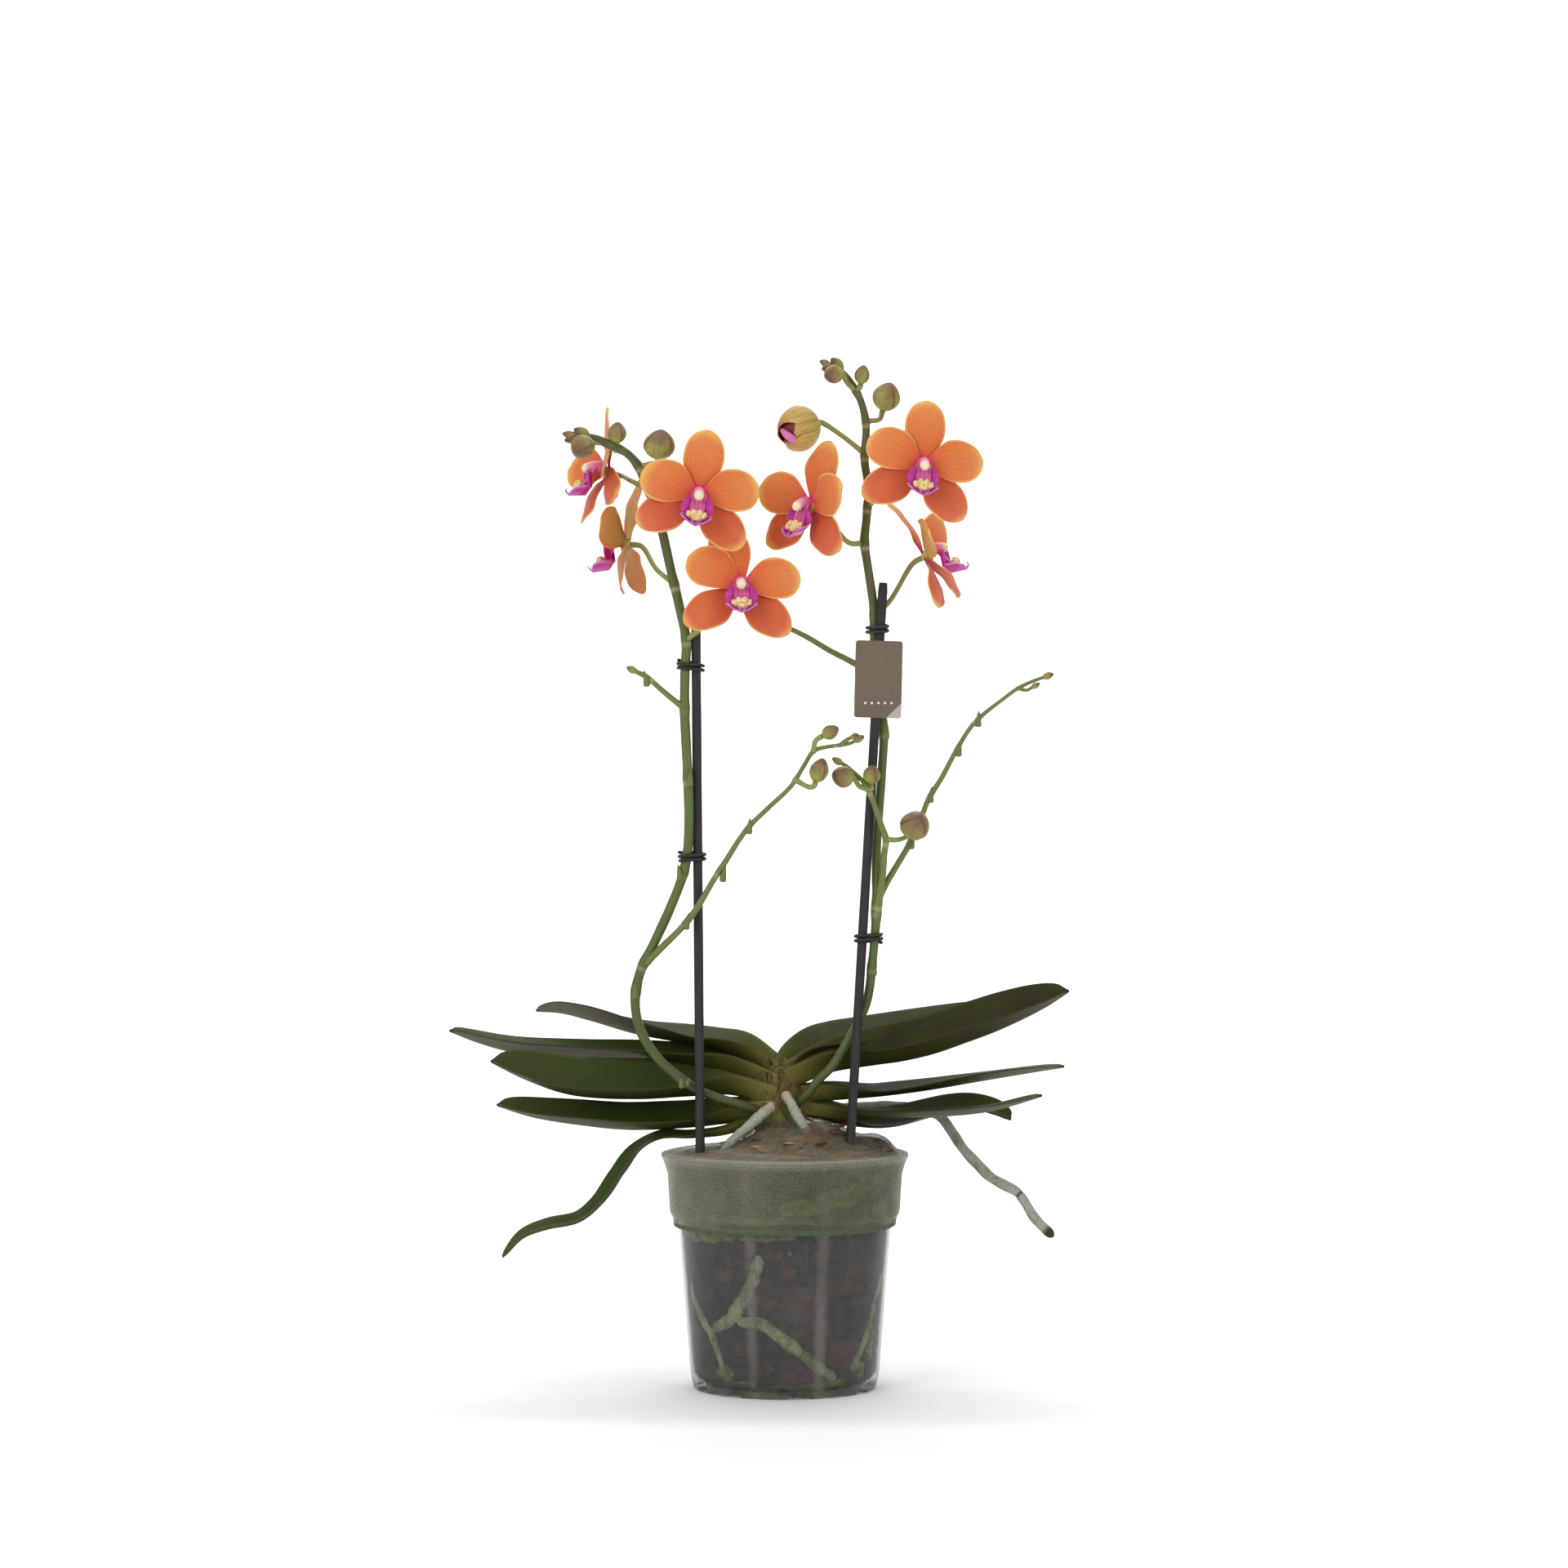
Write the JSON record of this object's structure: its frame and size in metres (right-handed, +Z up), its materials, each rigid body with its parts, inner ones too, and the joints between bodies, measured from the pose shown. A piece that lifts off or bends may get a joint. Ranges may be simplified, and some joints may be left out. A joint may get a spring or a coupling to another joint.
{
  "type": "potted orchid",
  "caption": "Moth orchid with two branching flower spikes tied to stakes, strap leaves in two ranks, in a clear netted grower's pot that stands on its own.",
  "frame": {"origin": "middle of the pot's underside, on the surface that it stands on", "axes": "+Z up, +X to the viewer's right, -Y towards the viewer"},
  "size_m": [0.3042, 0.1314, 0.5012],
  "materials": {
    "pot_plastic": "clear grey-green moulded plastic, a little misted",
    "net": "fine knitted net, beige-green",
    "bark": "damp pine bark chips",
    "stem": "fleshy stem with dry sheaths, satin",
    "leaf": "dark green flushed maroon, waxy",
    "root": "silver-grey spongy skin, matt",
    "pot_root": "moist green root skin",
    "spike": "olive green with brown freckles, satin",
    "stake": "matt near-black with fine grain along it",
    "tie": "matt black",
    "card": "satin print, brown-grey with a pale corner",
    "tepal": "velvet orange with yellow rims and fine veins",
    "lip": "glossy magenta with a cream callus and white column",
    "bud": "olive green flushed brown-purple, satin"
  },
  "bodies": {
    "root": {"pot": "pot_plastic", "net_sleeve": "net", "bark": "bark", "stem": "stem", "care_card": "card", "spike_left": "spike", "spike_right": "spike", "opening_bud": "bud", "opening_bud_lip": "lip", "leaf_left_1": "leaf", "leaf_left_2": "leaf", "leaf_left_3": "leaf", "leaf_left_4": "leaf", "leaf_left_5": "leaf", "leaf_right_1": "leaf", "leaf_right_2": "leaf", "leaf_right_3": "leaf", "leaf_right_4": "leaf", "leaf_right_5": "leaf", "flower_left_1_tepals": "tepal", "flower_left_1_lip": "lip", "flower_left_2_tepals": "tepal", "flower_left_2_lip": "lip", "flower_left_3_tepals": "tepal", "flower_left_3_lip": "lip", "flower_left_4_tepals": "tepal", "flower_left_4_lip": "lip", "flower_right_1_tepals": "tepal", "flower_right_1_lip": "lip", "flower_right_2_tepals": "tepal", "flower_right_2_lip": "lip", "flower_right_3_tepals": "tepal", "flower_right_3_lip": "lip", "bud_left_1": "bud", "bud_left_2": "bud", "bud_left_3": "bud", "bud_right_1": "bud", "bud_right_2": "bud", "bud_right_3": "bud", "bud_branch_1": "bud", "bud_branch_2": "bud", "bud_branch_3": "bud", "bud_branch_4": "bud", "bud_branch_5": "bud", "root_front_left": "root", "root_front_right": "root", "root_in_air": "root", "root_in_pot_1": "pot_root", "root_in_pot_2": "pot_root", "root_in_pot_3": "pot_root", "root_in_pot_4": "pot_root", "root_in_pot_5": "pot_root", "stake_left": "stake", "stake_right": "stake", "tie_left_upper": "tie", "tie_left_lower": "tie", "tie_right_upper": "tie", "tie_right_lower": "tie"}
  },
  "joints": []
}
